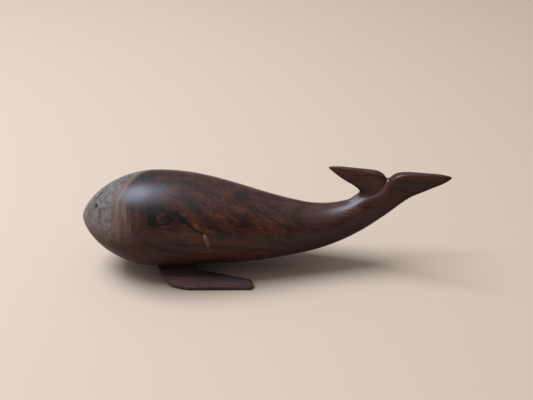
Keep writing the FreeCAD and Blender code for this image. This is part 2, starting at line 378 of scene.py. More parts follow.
# pectoral fins: a flat blade drawn from the front of its root, x along the whale and y up the blade
fin = {
    "place": -88,
    "spread": 37.5,
    "tilt": 33,
    "thickness": 5,
    "tipThickness": 3.9,
    "footCut": 1,
    "rootLength": 34,
    "rootWidth": 25,
    "rootEase": 4,
    "frontEdge": [(0, 19), (8, 5), (24, 0)],
    "frontRound": 5,
    "tipWidth": 8,
    "heelWidth": 17,
    "tipRound": 3.4,
    "topRound": 1.5,
    "bottomRound": 0.5,
    "crown": 0.35,
    "seatGap": 0.1,
}
dowel = {"radius": 1.25, "length": 16, "inset": 8, "endRoom": 0.5}
finLength = boxOf("left_pectoral_fin")[1][0] - fin["place"]


def onFin(side, points):
    # from the flat drawing to the whale: tilted up to the belly about the blade's floor edge
    x, y, z = np.moveaxis(np.asarray(points, float), -1, 0)
    tilt = radians(fin["tilt"])
    out = fin["spread"] - y * cos(tilt) + z * sin(tilt)
    up = y * sin(tilt) + z * cos(tilt) - fin["footCut"]
    return np.stack([fin["place"] + x, side * out, up], axis=-1)


def finTaper(x):
    # 0 as far as the heel, then evenly up to 1 at the tip
    return np.clip((x - fin["rootLength"]) / (finLength - fin["rootLength"]), 0, 1)


def finEdges(x):
    # the floor edge is straight runs with their corners eased, by the mean of it over a stretch;
    # the upper edge tapers from the heel to the tip; both close on the tip in an arc
    corners = np.array(fin["frontEdge"] + [(finLength, 0)], float)
    spread = np.linspace(-fin["frontRound"], fin["frontRound"], fineness["finEdgeSamples"])[:, None]
    sampled = np.maximum(x + spread * np.minimum(1, x / fin["frontRound"]), 0)
    low = np.mean(np.interp(sampled, *corners.T), axis=0)
    high = fin["heelWidth"] + (fin["tipWidth"] - fin["heelWidth"]) * finTaper(x)
    root = np.clip((fin["rootLength"] - x) / fin["rootEase"], 0, 1)
    high += (fin["rootWidth"] - fin["heelWidth"]) * (1 - np.cos(pi * root)) / 2
    left = np.clip((finLength - x) / fin["tipRound"], 0, 1)
    draw = fin["tipRound"] * (1 - np.sqrt(1 - (1 - left) ** 2))
    return low + draw, high - draw


def finRings(side):
    # each ring is a rounded box across the blade: four quarter arcs, joined by flat faces
    turn = np.linspace(0, pi / 2, fineness["finTipRings"], endpoint=False)
    tip = finLength - fin["tipRound"] * (1 - np.sin(turn))
    x = np.r_[np.linspace(0, tip[0], fineness["finRings"])[:-1], tip]
    low, high = finEdges(x)
    top = fin["thickness"] + (fin["tipThickness"] - fin["thickness"]) * finTaper(x)
    half = (high - low) / 2
    topRound = np.minimum(fin["topRound"], half * 0.9)
    bottomRound = np.minimum(fin["bottomRound"], half * 0.5)
    centres = [(high - topRound, top - topRound, topRound),
               (low + topRound, top - topRound, topRound),
               (low + bottomRound, bottomRound, bottomRound),
               (high - bottomRound, bottomRound, bottomRound)]
    quarter = np.linspace(0, pi / 2, fineness["finCornerPoints"])
    arcs = []
    for number, centre in enumerate(centres):
        across, up, radius = np.array(centre)[:, :, None]
        angle = number * pi / 2 + quarter
        arcs.append(np.stack([across + radius * np.cos(angle), up + radius * np.sin(angle)], axis=-1))
    between = np.linspace(0, 1, fineness["finFacePoints"] + 2)[1:-1, None]
    runs = []
    for number, arc in enumerate(arcs):
        start, end = arc[:, -1:], arcs[(number + 1) % 4][:, :1]
        runs += [arc, start + (end - start) * between]
    across, up = np.moveaxis(np.concatenate(runs, axis=1), -1, 0)

    # the upper half sinks towards both edges by a crown that grows with the distance squared
    share = (across - low[:, None]) / (high - low)[:, None]
    upper = np.clip(up / top[:, None] * 2 - 1, 0, 1)
    up = up - upper * fin["crown"] * (2 * share - 1) ** 2
    points = onFin(side, np.stack(np.broadcast_arrays(x[:, None], across, up), axis=-1))
    points[..., 2] = np.maximum(points[..., 2], 0)
    return points


def makeFin(side, name):
    rings = finRings(side)
    return ringSurface(name, rings, rings[0].mean(axis=0), rings[-1].mean(axis=0))


def seatCutter(side):
    # a box that leaves the glue's gap round the root of the fin
    gap = fin["seatGap"]
    ends = ((-gap, fin["rootLength"] + gap), (gap, fin["rootWidth"] + gap), (-gap, fin["thickness"] + gap))
    corners = [(x, y, z) for z in ends[2] for y in ends[1] for x in ends[0]]
    faces = [(0, 1, 3, 2), (4, 5, 7, 6), (0, 1, 5, 4), (1, 3, 7, 5), (3, 2, 6, 7), (2, 0, 4, 6)]
    return finishMesh("seatCutter", onFin(side, corners), faces)


def socketCutter(side, x):
    # a round pin along the blade, as two circles about the dowel's axis
    reach = dowel["length"] / 2 + dowel["endRoom"]
    radius = dowel["radius"] + fin["seatGap"]
    middle = fin["thickness"] / 2
    turn = np.linspace(0, 2 * pi, fineness["socketPoints"], endpoint=False)[None, :]
    y = fin["rootWidth"] + np.array([[-reach], [reach]])
    circles = np.broadcast_arrays(x + radius * np.cos(turn), y, middle + radius * np.sin(turn))
    ends = onFin(side, [(x, y[0, 0], middle), (x, y[1, 0], middle)])
    return ringSurface("socketCutter", onFin(side, np.stack(circles, axis=-1)), *ends)


# body: flaws in the nose, a little worm hole and a drying crack
flaws = {
    "holePlace": (-134.4, -13.3, 66.1),
    "holeInward": (0.63, 0.47, -0.62),
    "holeSize": (2.1, 0.9, 1.6),
    "holeLumps": (0.16, 0.09),
    "crackEnds": [(-137.4, -6.6, 66.9), (-128.9, -3.4, 74.1)],
    "crackInward": (0.6, 0.2, -0.77),
    "crackWidth": 0.6,
    "crackDepth": 1.6,
    "crackWaver": (0.3, 0.12),
}


def holeCutter():
    # a lumpy ellipsoid: 1 + a sine of twice the turn + a sine of three times it
    rise = np.linspace(0, pi, fineness["holeRings"] + 2)[1:-1, None]
    turn = np.linspace(0, 2 * pi, fineness["holePoints"], endpoint=False)[None, :]
    broad, fine = flaws["holeLumps"]
    lump = 1 + broad * np.sin(2 * turn + 0.7) * np.sin(rise) + fine * np.sin(3 * turn + 2 * rise)
    long, wide, deep = flaws["holeSize"]
    local = np.broadcast_arrays(long * lump * np.sin(rise) * np.cos(turn),
                                wide * lump * np.sin(rise) * np.sin(turn), deep * np.cos(rise))
    inward = np.array(flaws["holeInward"])
    inward = inward / np.linalg.norm(inward)
    along = np.cross(inward, (0, 0, 1))
    along /= np.linalg.norm(along)
    axes = np.stack([along, np.cross(inward, along), inward])
    centre = np.array(flaws["holePlace"])
    rings = centre + np.stack(local, axis=-1) @ axes
    return ringSurface("holeCutter", rings, centre + deep * inward, centre - deep * inward)


def crackCutter():
    # a thin leaf along a wavering line: its width and depth swell as a half sine, late along it
    share = np.linspace(0, 1, fineness["crackRings"] + 2)[1:-1, None]
    turn = np.linspace(0, 2 * pi, fineness["crackPoints"], endpoint=False)[None, :]
    first, last = np.array(flaws["crackEnds"])
    inward = np.array(flaws["crackInward"])
    across = np.cross(last - first, inward)
    across /= np.linalg.norm(across)
    swell = np.sin(pi * share ** 1.7) ** 0.7
    slow, quick = flaws["crackWaver"]
    waver = slow * np.sin(2.3 * pi * share) + quick * np.sin(9 * share)
    side = waver + flaws["crackWidth"] * swell * np.cos(turn) * (1 + 0.3 * np.sin(17 * share))
    deep = flaws["crackDepth"] * swell * np.sin(turn)
    line = first + (last - first) * share[..., None]
    rings = line + side[..., None] * across + deep[..., None] * inward
    return ringSurface("crackCutter", rings, first, last)


whaleBody, stock = makeSpindle()
combine(whaleBody, makeFrontLobe(stock[-1]), "UNION")
combine(whaleBody, makeWeb(stock), "UNION")
softenCreases(whaleBody)
fins = []
for side, hand in ((-1, "left"), (1, "right")):
    blade = makeFin(side, f"{hand}Fin")
    combine(whaleBody, seatCutter(side), "DIFFERENCE")
    for x in (dowel["inset"], fin["rootLength"] - dowel["inset"]):
        combine(whaleBody, socketCutter(side, x), "DIFFERENCE")
        combine(blade, socketCutter(side, x), "DIFFERENCE")
    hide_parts(f"{hand}_pectoral_fin")
    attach(blade, "root")
    fins.append(blade)
combine(whaleBody, holeCutter(), "DIFFERENCE")
combine(whaleBody, crackCutter(), "DIFFERENCE")
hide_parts("body")
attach(whaleBody, "root")
markUpward(whaleBody)
for piece in [whaleBody] + fins:
    piece.data.shade_smooth()
    piece.data.set_sharp_from_angle(angle=radians(40))
    print(piece.name, len(piece.data.polygons), "faces")


def shade(colour):
    # red, green and blue from 0 to 255 as seen on a screen, to the linear values a shader takes
    share = np.array(colour, float) / 255
    return (*np.where(share < 0.04045, share / 12.92, ((share + 0.055) / 1.055) ** 2.4), 1)


def addNode(tree, kind, inputs, **settings):
    # a node with its inputs linked where they are sockets, and set where they are values
    node = tree.nodes.new("ShaderNode" + kind)
    for name, value in settings.items():
        setattr(node, name, value)
    for name, value in inputs.items():
        if isinstance(value, bpy.types.NodeSocket):
            tree.links.new(value, node.inputs[name])
        else:
            node.inputs[name].default_value = value
    return node


def calc(tree, operation, first, second=0.0):
    return addNode(tree, "Math", {0: first, 1: second}, operation=operation).outputs[0]


def plus(tree, first, second):
    return calc(tree, "ADD", first, second)


def times(tree, first, second):
    return calc(tree, "MULTIPLY", first, second)


def vector(tree, operation, first, second):
    node = addNode(tree, "VectorMath", {0: first, 1: second}, operation=operation)
    return node.outputs["Value" if operation in ("DOT_PRODUCT", "LENGTH") else "Vector"]


def towards(tree, place, direction):
    # how far a place lies along a direction, times the direction's own length
    return vector(tree, "DOT_PRODUCT", place, direction)


def gather(tree, x, y, z):
    return addNode(tree, "CombineXYZ", {"X": x, "Y": y, "Z": z}).outputs[0]


def fade(tree, value, low, high, top=1.0):
    # 0 at low, rising smoothly to top at high; low may be the larger
    ends = {"Value": value, "From Min": low, "From Max": high, "To Max": top}
    return addNode(tree, "MapRange", ends, interpolation_type="SMOOTHSTEP").outputs[0]


def atLeast(tree, share, least):
    # a share of 0 to 1, brought to between the least share and 1
    return plus(tree, times(tree, share, 1 - least), least)


def blend(tree, amount, first, second):
    return addNode(tree, "Mix", {0: amount, 6: first, 7: second}, data_type="RGBA").outputs[2]


def mixNumbers(tree, amount, first, second):
    return addNode(tree, "Mix", {0: amount, 2: first, 3: second}, data_type="FLOAT").outputs[0]


def noise(tree, place, detail, roughness=0.5):
    inputs = {"Vector": place, "Scale": 1.0, "Detail": detail, "Roughness": roughness}
    return addNode(tree, "TexNoise", inputs).outputs["Fac"]


def cloud(tree, place, stretch, detail=4.0, roughness=0.55):
    # noise, with its cycles a millimetre along x, y and z
    return noise(tree, vector(tree, "MULTIPLY", place, stretch), detail, roughness)


def sway(tree, value, reach):
    # a noise value as a push of up to reach each way
    return times(tree, calc(tree, "SUBTRACT", value, 0.5), 2.0 * reach)


def millimetres(tree):
    place = addNode(tree, "TexCoord", {}).outputs["Object"]
    return vector(tree, "MULTIPLY", place, (1 / mm,) * 3)


def toStroke(tree, place, first, last):
    # distance in millimetres from a straight stroke between two points
    first, last = Vector(first), Vector(last)
    along = last - first
    offset = vector(tree, "SUBTRACT", place, first)
    share = towards(tree, offset, along / along.length_squared)
    share = calc(tree, "MINIMUM", calc(tree, "MAXIMUM", share, 0.0), 1.0)
    foot = addNode(tree, "VectorMath", {0: along, "Scale": share}, operation="SCALE").outputs["Vector"]
    return vector(tree, "LENGTH", vector(tree, "SUBTRACT", offset, foot), (0, 0, 0))


def toCentre(tree, place, centre, radii):
    # 1 on an ellipsoid round the centre, less inside it
    offset = vector(tree, "SUBTRACT", place, centre)
    scaled = vector(tree, "MULTIPLY", offset, tuple(1 / radius for radius in radii))
    return vector(tree, "LENGTH", scaled, (0, 0, 0))


def drawStrokes(tree, place, colour, push, figure):
    # colours what is near the figure's lines: the distance from the nearest stroke, less its
    # line's half width, made ragged by a noise and faded across the rim
    nearest = None
    for points, halfWidth in figure["lines"]:
        for first, last in zip(points, points[1:]):
            reach = calc(tree, "SUBTRACT", toStroke(tree, place, first, last), halfWidth)
            nearest = calc(tree, "MINIMUM", nearest, reach) if nearest else reach
    nearest = plus(tree, nearest, sway(tree, push, figure["ragged"]))
    return blend(tree, fade(tree, nearest, *figure["rim"], figure["depth"]), colour, shade(figure["tone"]))


def drawPatch(tree, place, colour, push, centre, patch):
    # colours what is inside an ellipsoid, made ragged by a noise and faded across the rim
    reach = toCentre(tree, place, centre, patch["radii"])
    reach = plus(tree, reach, sway(tree, push, patch["ragged"]))
    return blend(tree, fade(tree, reach, *patch["rim"], patch["depth"]), colour, shade(patch["tone"]))


def grainAxes(outward, slope):
    # outward from the pith, and the other two axes turned so that the fibres slope down the flank
    out = Vector(outward).normalized()
    level = (Vector((1, 0, 0)) - out * out.x).normalized()
    rise = out.cross(level)
    rise = rise if rise.z > 0 else -rise
    turn = radians(slope)
    return out, cos(turn) * level - sin(turn) * rise, sin(turn) * level + cos(turn) * rise


def growthLayers(tree, place, wood):
    # millimetres through the growth layers: distance from a far pith that runs along the whale,
    # pushed about by slow noise so that the layers waver
    out, along, across = grainAxes(wood["outward"], wood["slope"])
    depth = plus(tree, towards(tree, place, out), wood["pithDepth"])
    breadth = towards(tree, place, across)
    squares = plus(tree, times(tree, depth, depth), times(tree, breadth, breadth))
    layer = calc(tree, "SQRT", squares)
    layer = plus(tree, layer, sway(tree, cloud(tree, place, wood["slowWaver"], 2.0), wood["slowReach"]))
    return plus(tree, layer, sway(tree, cloud(tree, place, wood["quickWaver"], 3.0), wood["quickReach"]))


def layerStreaks(tree, place, layer, pace, length, seed):
    # noise that changes at a pace through the layers, and over a length of millimetres along them
    along = towards(tree, place, (1 / length, 0.25 / length, 0.35 / length))
    return noise(tree, gather(tree, times(tree, layer, pace), along, seed), 5.0, 0.6)


def fibreNoise(tree, place, axes, pace, length, seed):
    # noise drawn out along the fibres over a length of millimetres, fine across them
    out, along, across = axes
    deep = plus(tree, towards(tree, place, out * pace), seed)
    put = gather(tree, towards(tree, place, along / length), towards(tree, place, across * pace), deep)
    return noise(tree, put, 4.0, 0.62)


# each kind of streak shows between two levels of its noise, and a seed keeps the kinds apart
streakLevels = {
    "broad": (0.36, 0.66, 3.1),
    "swath": (0.42, 0.62, 61.7),
    "fibre": (0.4, 0.6, 4.4),
    "glow": (0.5, 0.7, 8.4),
    "vein": (0.52, 0.66, 15.7),
    "fleck": (0.46, 0.62, 27.2),
    "line": (0.54, 0.63, 51.3),
}
patches = {"stretch": (0.02, 0.035, 0.035), "levels": (0.35, 0.68), "depth": 0.35}
unveinedBroad = 0.3


def woodColour(tree, place, layer, fibre, wood, glowMask=1.0, contrast=1.0, veining=1.0):
    # broad bands through the layers, then the streaks one over another and dark patches; fibre
    # gives fibre noise of a pace, a length and a seed
    def along(pace, length, seed):
        return layerStreaks(tree, place, layer, pace, length, seed)

    def streak(name, pattern, mask=1.0):
        pace, length, depth = wood["streaks"][name]
        low, high, seed = streakLevels[name]
        return times(tree, fade(tree, pattern(pace, length, seed), low, high, depth), mask)

    broad = mixNumbers(tree, veining, unveinedBroad, streak("broad", along))
    colour = blend(tree, broad, shade(wood["brown"]), shade(wood["red"]))
    order = [("swath", fibre, contrast), ("fibre", fibre, contrast), ("glow", fibre, glowMask),
             ("vein", along, veining), ("fleck", fibre, contrast), ("line", fibre, 1.0)]
    for name, pattern, mask in order:
        tone = wood["glow" if name == "glow" else "black"]
        colour = blend(tree, streak(name, pattern, mask), colour, shade(tone))
    patch = fade(tree, cloud(tree, place, patches["stretch"], 3.0), *patches["levels"], patches["depth"])
    return blend(tree, patch, colour, shade(wood["black"]))


# what handling, brushing and the open pores do to the surface; a stretch is in cycles a millimetre
surface = {
    "poreStretch": (0.3, 2.4, 2.4),
    "poreLevels": (0.6, 0.72),
    "poreShade": 0.35,
    "poreRoughness": 0.12,
    "handledStretch": (0.03, 0.05, 0.05),
    "handledReach": 0.09,
    "filmReach": 0.12,
    "brushedStretch": (0.4, 0.8, 0.8),
    "brushedReach": 0.12,
    "fibreStretch": (0.5, 3.2, 3.2),
    "fibreHeight": 0.35,
    "bumpStrength": 0.35,
    "bumpHeight": 0.06,
}


def waxed(tree, colour, place, wood, polish=0.0, rubbedAndLit=None):
    # wood with its vessels cut open in short dark dashes, under a coat of wax that is rubbed to a
    # shine in some places only
    dashes = fade(tree, cloud(tree, place, surface["poreStretch"], 2.0, 0.5), *surface["poreLevels"])
    colour = blend(tree, times(tree, dashes, surface["poreShade"]), colour, shade(wood["black"]))
    handled = cloud(tree, place, surface["handledStretch"])
    brushed = cloud(tree, place, surface["brushedStretch"], 3.0)
    fibres = cloud(tree, place, surface["fibreStretch"], 3.0)
    roughness = times(tree, dashes, surface["poreRoughness"])
    roughness = plus(tree, sway(tree, handled, surface["handledReach"]), roughness)
    roughness = plus(tree, roughness, sway(tree, brushed, surface["brushedReach"]))
    roughness = calc(tree, "SUBTRACT", plus(tree, roughness, wood["roughness"]), polish)
    height = calc(tree, "SUBTRACT", times(tree, fibres, surface["fibreHeight"]), dashes)
    relief = {"Height": height, "Strength": surface["bumpStrength"], "Distance": surface["bumpHeight"] * mm}
    shader = tree.nodes["Principled BSDF"]
    tree.links.new(colour, shader.inputs["Base Color"])
    tree.links.new(roughness, shader.inputs["Roughness"])
    tree.links.new(addNode(tree, "Bump", relief).outputs[0], shader.inputs["Normal"])
    shader.inputs["Specular IOR Level"].default_value = wood["shine"]
    if rubbedAndLit:
        film = plus(tree, sway(tree, handled, surface["filmReach"]), wood["wax"])
        tree.links.new(times(tree, film, rubbedAndLit), shader.inputs["Coat Weight"])
        shader.inputs["Coat Roughness"].default_value = wood["waxRoughness"]


def newMaterial(name):
    material = bpy.data.materials.new(name)
    material.use_nodes = True
    return material, material.node_tree


# the body's wood: dark heartwood, with fibres that slope on the shoulder and lie level on the
# flank, glowing under the shoulder, with painted shade on the faces that look down, dark towards
# the tail; a streak is its pace across the grain, its length in millimetres and its depth
ironwood = {
    "brown": (82, 50, 36),
    "red": (112, 62, 40),
    "glow": (150, 80, 44),
    "black": (13, 8, 8),
    "outward": (0.2, -0.83, 0.56),
    "slope": 20,
    "pithDepth": 75,
    "slowWaver": (0.012, 0.02, 0.02),
    "slowReach": 4,
    "quickWaver": (0.045, 0.11, 0.11),
    "quickReach": 1.2,
    "streaks": {
        "broad": (0.3, 60, 1),
        "swath": (0.11, 26, 0.6),
        "fibre": (1.3, 6, 0.62),
        "glow": (0.7, 11, 0.7),
        "vein": (0.42, 70, 0.6),
        "fleck": (1.5, 1.7, 0.62),
        "line": (0.3, 55, 0.6),
    },
    "veinTail": (75, 15),
    "veinNose": (-115, -88),
    "veinNoseShare": 0.35,
    "shoulderSlope": 32,
    "flankSlope": 3,
    "flankStretch": 3,
    "flankSeed": 40,
    "flankContrast": 0.5,
    "levelLean": (0.2, 0.56, 0.83),
    "levelHeight": (11, 23),
    "levelWaver": 8,
    "levelPlace": (50, 0),
    "glowCentre": (-28, -31, 56),
    "glowRadii": (46, 30, 12),
    "glowRagged": 0.7,
    "glowRim": (1.2, 0.5),
    "glowElsewhere": 0.1,
    "shine": 0.12,
    "wax": 0.66,
    "waxRoughness": 0.38,
    # the wax coat and the painted shade on the faces that look down both follow how far a face looks up
    "rubbedAndLitUpward": (-0.35, 0.55),
    "underShadeDepth": 0.4,
    "sternCentre": (56, -12, 34),
    "polish": 0.1,
    "polishPlace": (10, 60),
    "roughness": 0.41,
}
stern = {"tone": ironwood["black"], "ragged": 0.3, "rim": (1.2, 0.5), "depth": 0.5, "radii": (52, 30, 18)}

# the knot on the left shoulder: the layers swell round it, a dark haze lies over it, and its
# figures are lines of strokes, each line with a half width
knot = {
    "centre": (-80, -33, 68),
    "swell": 3.5,
    "swellRadii": (9, 12, 8),
}
haze = {"tone": ironwood["black"], "ragged": 0.9, "rim": (1.2, 0.4), "depth": 0.25, "radii": (17, 14, 10)}
embers = {
    "tone": ironwood["glow"], "ragged": 2.4, "rim": (1.6, -0.3), "depth": 0.33,
    "lines": [([(-79.5, -36.3, 61.3), (-72, -35.8, 61.7)], 0.2),
              ([(-54, -34, 60.3), (-51, -34.5, 58)], 1.0),
              ([(-46, -34.5, 56), (-40, -34, 55)], 0.5)],
}
shadows = {
    "tone": (22, 18, 20), "ragged": 1.6, "rim": (1.4, -0.3), "depth": 0.8,
    "lines": [([(-88, -29, 73.5), (-80.6, -29.8, 72.4)], 1.3),
              ([(-80, -30.4, 71.8), (-74.4, -31, 71), (-68, -31, 70)], 1.9)],
}
strokes = {
    "tone": ironwood["black"], "ragged": 1.8, "rim": (0.8, -0.3), "depth": 0.93,
    "lines": [([(-90, -27.5, 75), (-90, -31, 71)], 0.8),
              ([(-89.5, -31.5, 70.5), (-89.2, -33.5, 67.5), (-89.2, -35.4, 64)], 1.3),
              ([(-89, -35.4, 63.7), (-86, -36.2, 62), (-84.6, -37, 60.3)], 0.6),
              ([(-86.8, -31, 71), (-86.8, -33.2, 68), (-86, -35.7, 63.3)], 0.5),
              ([(-84.4, -32, 70), (-84.4, -34, 66.8), (-82, -35.4, 64),
                (-78.3, -35.6, 63), (-74.4, -35.5, 63)], 0.8),
              ([(-76, -32.5, 68.7), (-73.5, -33.2, 67.2), (-71.2, -33.5, 66.5)], 1.5),
              ([(-68, -30.6, 70), (-65.8, -32.2, 67.5), (-64.2, -33.7, 64.7)], 1.8),
              ([(-62.7, -32.8, 66), (-59.6, -34, 63), (-57.3, -34.7, 60.7)], 1.2),
              ([(-57.3, -34.7, 60.7), (-53.5, -35.4, 57.4),
                (-50.4, -35.5, 55.5), (-46.5, -35.5, 53.6)], 0.7)],
}
eye = {
    "tone": (78, 52, 42), "ragged": 0.9, "rim": (0.6, -0.3), "depth": 0.6,
    "lines": [([(-77.4, -31.6, 70), (-81.6, -32.2, 69.4), (-83, -33.5, 67.5),
                (-82, -35, 64.7), (-79, -35.3, 63.9)], 0.7),
              ([(-80.6, -33.7, 67), (-79.6, -33.7, 67)], 0)],
}

# sapwood: grey on the nose, then a tan band as far as a dark arc; both edges run back over the top
# as they cross to the right side, and the colour sinks into brown below, partly where the sapwood
# ends and partly as painted shade on the lower nose
sapwood = {
    "pale": (121, 112, 102),
    "dark": (80, 74, 68),
    "warm": (127, 103, 85),
    "brown": (104, 82, 67),
    "waver": 1.6,
    "edge": -119.5,
    "edgeRim": (3, -4),
    "edgeDepth": 0.95,
    "crossed": 14,
    "crossSlope": 0.9,
    "arcEdge": -112.9,
    "arcCrossed": 19,
    "arcSlope": 0.55,
    "mostCrossed": 40,
    "crossedHeight": (20, 82),
    "barPace": 0.17,
    "barDrift": 0.03,
    "barRim": (0.4, 0.62),
    "bandRim": (1, -3),
    "bandDepth": 0.85,
    "rearRim": (18, 3),
    "rearDepth": 0.65,
    "rearBarRim": (0.4, 0.66),
    "rearBetween": 0.3,
    "rearHeight": (82, 68),
    "mottleStretch": (0.34, 0.2, 0.2),
    "mottleRim": (0.4, 0.62),
    "ringPace": 0.7,
    "ringDrift": 0.06,
    "ringRim": (0.5, 0.68),
    "ringDepth": 0.4,
    "tipPlace": (-142, -148),
    "tipWaver": 4,
    "tipDepth": 0.5,
    "sunkHeight": (38, 60),
    "sunkWaver": 7,
    "sunkShare": 0.15,
    "lineWidth": (1.2, 0.2),
    "lineHeight": (60, 68),
    "lineDepth": 0.6,
}

# marks on the left side: a healed scar with pale chips, dark specks beside the hole, and painted shade in the
# hole and along the crack
scar = {
    "tone": (124, 82, 54), "ragged": 2, "rim": (0.9, -0.4), "depth": 0.7,
    "lines": [([(-46, -36, 50.5), (-44.8, -36.2, 47), (-43.8, -36.2, 43)], 1.2)],
}
chips = {
    "tone": (168, 152, 134), "ragged": 1.2, "rim": (0.6, -0.2), "depth": 0.7,
    "lines": [([(-46.7, -35.8, 52.8), (-46.4, -35.9, 51.2)], 0.5),
              ([(-44, -35.8, 39.5), (-44.2, -35.5, 36.5)], -0.2)],
}
paintedCrackShade = {
    "tone": ironwood["black"], "ragged": 0, "rim": (0.9, 0.2), "depth": 0.6,
    "lines": [(flaws["crackEnds"], 0)],
}
paintedHoleShade = {"tone": ironwood["black"], "ragged": 0, "rim": (1.15, 0.8), "depth": 0.95, "radii": (1.7, 2.1, 1.3)}
speck = {"tone": (58, 44, 36), "ragged": 0.6, "rim": (1.0, 0.4), "depth": 0.6, "radii": (0.9, 2, 0.7)}
speckPlaces = [(-137, -15, 61.8), (-131.3, -17, 66), (-128.5, -18.6, 67), (-130.2, -20.4, 63.5)]


def heartwood(tree, place, waver, rubbedAndLit):
    # the layers swell round the knot as a bell curve: e to the power of minus distance squared
    x = towards(tree, place, (1, 0, 0))
    near = toCentre(tree, place, knot["centre"], knot["swellRadii"])
    bell = calc(tree, "POWER", e, times(tree, times(tree, near, near), -1.0))
    layer = growthLayers(tree, place, ironwood)
    layer = plus(tree, layer, times(tree, bell, knot["swell"]))

    # fibres slope down the shoulder, and lie level low on the flank and towards the tail
    height = towards(tree, place, ironwood["levelLean"])
    height = plus(tree, height, sway(tree, waver, ironwood["levelWaver"]))
    ahead = fade(tree, x, *ironwood["levelPlace"])
    sloping = times(tree, fade(tree, height, *ironwood["levelHeight"]), ahead)
    slopingAxes = grainAxes(ironwood["outward"], ironwood["shoulderSlope"])
    levelAxes = grainAxes(ironwood["outward"], ironwood["flankSlope"])

    def fibre(pace, length, seed):
        level = fibreNoise(tree, place, levelAxes, pace, length * ironwood["flankStretch"], seed)
        sloped = fibreNoise(tree, place, slopingAxes, pace, length, seed + ironwood["flankSeed"])
        return mixNumbers(tree, sloping, level, sloped)

    glowing = toCentre(tree, place, ironwood["glowCentre"], ironwood["glowRadii"])
    glowing = plus(tree, glowing, sway(tree, waver, ironwood["glowRagged"]))
    glowMask = atLeast(tree, fade(tree, glowing, *ironwood["glowRim"]), ironwood["glowElsewhere"])
    contrast = atLeast(tree, sloping, ironwood["flankContrast"])
    veining = atLeast(tree, fade(tree, x, *ironwood["veinNose"]), ironwood["veinNoseShare"])
    veining = times(tree, fade(tree, x, *ironwood["veinTail"]), veining)
    colour = woodColour(tree, place, layer, fibre, ironwood, glowMask, contrast, veining)

    # painted shade on the faces that look down, the deeper the less they face up, and a dark patch towards the
    # tail
    underShade = times(tree, calc(tree, "SUBTRACT", 1.0, rubbedAndLit), ironwood["underShadeDepth"])
    colour = blend(tree, underShade, colour, shade(ironwood["black"]))
    return drawPatch(tree, place, colour, waver, ironwood["sternCentre"], stern)


def sapwoodOver(tree, place, waver, colour):
    x, y, z = [towards(tree, place, axis) for axis in ((1, 0, 0), (0, 1, 0), (0, 0, 1))]

    def behind(crossed, slope):
        over = calc(tree, "MAXIMUM", plus(tree, y, crossed), 0.0)
        over = calc(tree, "MINIMUM", over, sapwood["mostCrossed"])
        over = times(tree, over, fade(tree, z, *sapwood["crossedHeight"]))
        back = calc(tree, "SUBTRACT", x, times(tree, over, slope))
        return plus(tree, back, sway(tree, waver, sapwood["waver"]))

    def fadeFrom(value, edge, rim, depth):
        return fade(tree, value, edge + rim[0], edge + rim[1], depth)

    def bands(pace, drift, seed, detail):
        # noise in bands that run beside the arc
        put = gather(tree, times(tree, arc, pace), times(tree, y, drift), seed)
        return noise(tree, put, detail)

    arc = behind(sapwood["arcCrossed"], sapwood["arcSlope"])
    bars = bands(sapwood["barPace"], sapwood["barDrift"], 7.0, 3.0)
    # the grey and the band fade out low on the nose: partly the sapwood's edge, partly painted shade
    sunk = plus(tree, z, sway(tree, waver, sapwood["sunkWaver"]))
    sunk = fade(tree, sunk, *sapwood["sunkHeight"])

    # the tan band, and the fainter bars behind its arc
    bandColour = fade(tree, bars, *sapwood["barRim"])
    bandColour = blend(tree, bandColour, shade(sapwood["brown"]), shade(sapwood["warm"]))
    band = fadeFrom(arc, sapwood["arcEdge"], sapwood["bandRim"], sapwood["bandDepth"])
    between = atLeast(tree, fade(tree, bars, *sapwood["rearBarRim"]), sapwood["rearBetween"])
    rear = fadeFrom(arc, sapwood["arcEdge"], sapwood["rearRim"], sapwood["rearDepth"])
    rear = times(tree, rear, between)
    rear = times(tree, rear, fade(tree, z, *sapwood["rearHeight"]))
    band = times(tree, calc(tree, "MAXIMUM", band, rear), sunk)
    colour = blend(tree, band, colour, bandColour)

    # the grey nose: mottled, ringed, and brown at its very tip
    mottle = fade(tree, cloud(tree, place, sapwood["mottleStretch"], 6.0, 0.7), *sapwood["mottleRim"])
    greyColour = blend(tree, mottle, shade(sapwood["pale"]), shade(sapwood["dark"]))
    rings = fade(tree, bands(sapwood["ringPace"], sapwood["ringDrift"], 11.0, 2.0),
                 *sapwood["ringRim"], sapwood["ringDepth"])
    greyColour = blend(tree, rings, greyColour, shade(sapwood["dark"]))
    tip = plus(tree, x, sway(tree, waver, sapwood["tipWaver"]))
    tip = fade(tree, tip, *sapwood["tipPlace"], sapwood["tipDepth"])
    greyColour = blend(tree, tip, greyColour, shade(sapwood["brown"]))
    grey = behind(sapwood["crossed"], sapwood["crossSlope"])
    grey = fadeFrom(grey, sapwood["edge"], sapwood["edgeRim"], sapwood["edgeDepth"])
    grey = times(tree, grey, atLeast(tree, sunk, sapwood["sunkShare"]))
    colour = blend(tree, grey, colour, greyColour)

    # the dark line along the arc, on the upper part only
    line = calc(tree, "ABSOLUTE", calc(tree, "SUBTRACT", arc, sapwood["arcEdge"]))
    line = fade(tree, line, *sapwood["lineWidth"], sapwood["lineDepth"])
    line = times(tree, line, fade(tree, z, *sapwood["lineHeight"]))
    return blend(tree, line, colour, shade(ironwood["brown"]))


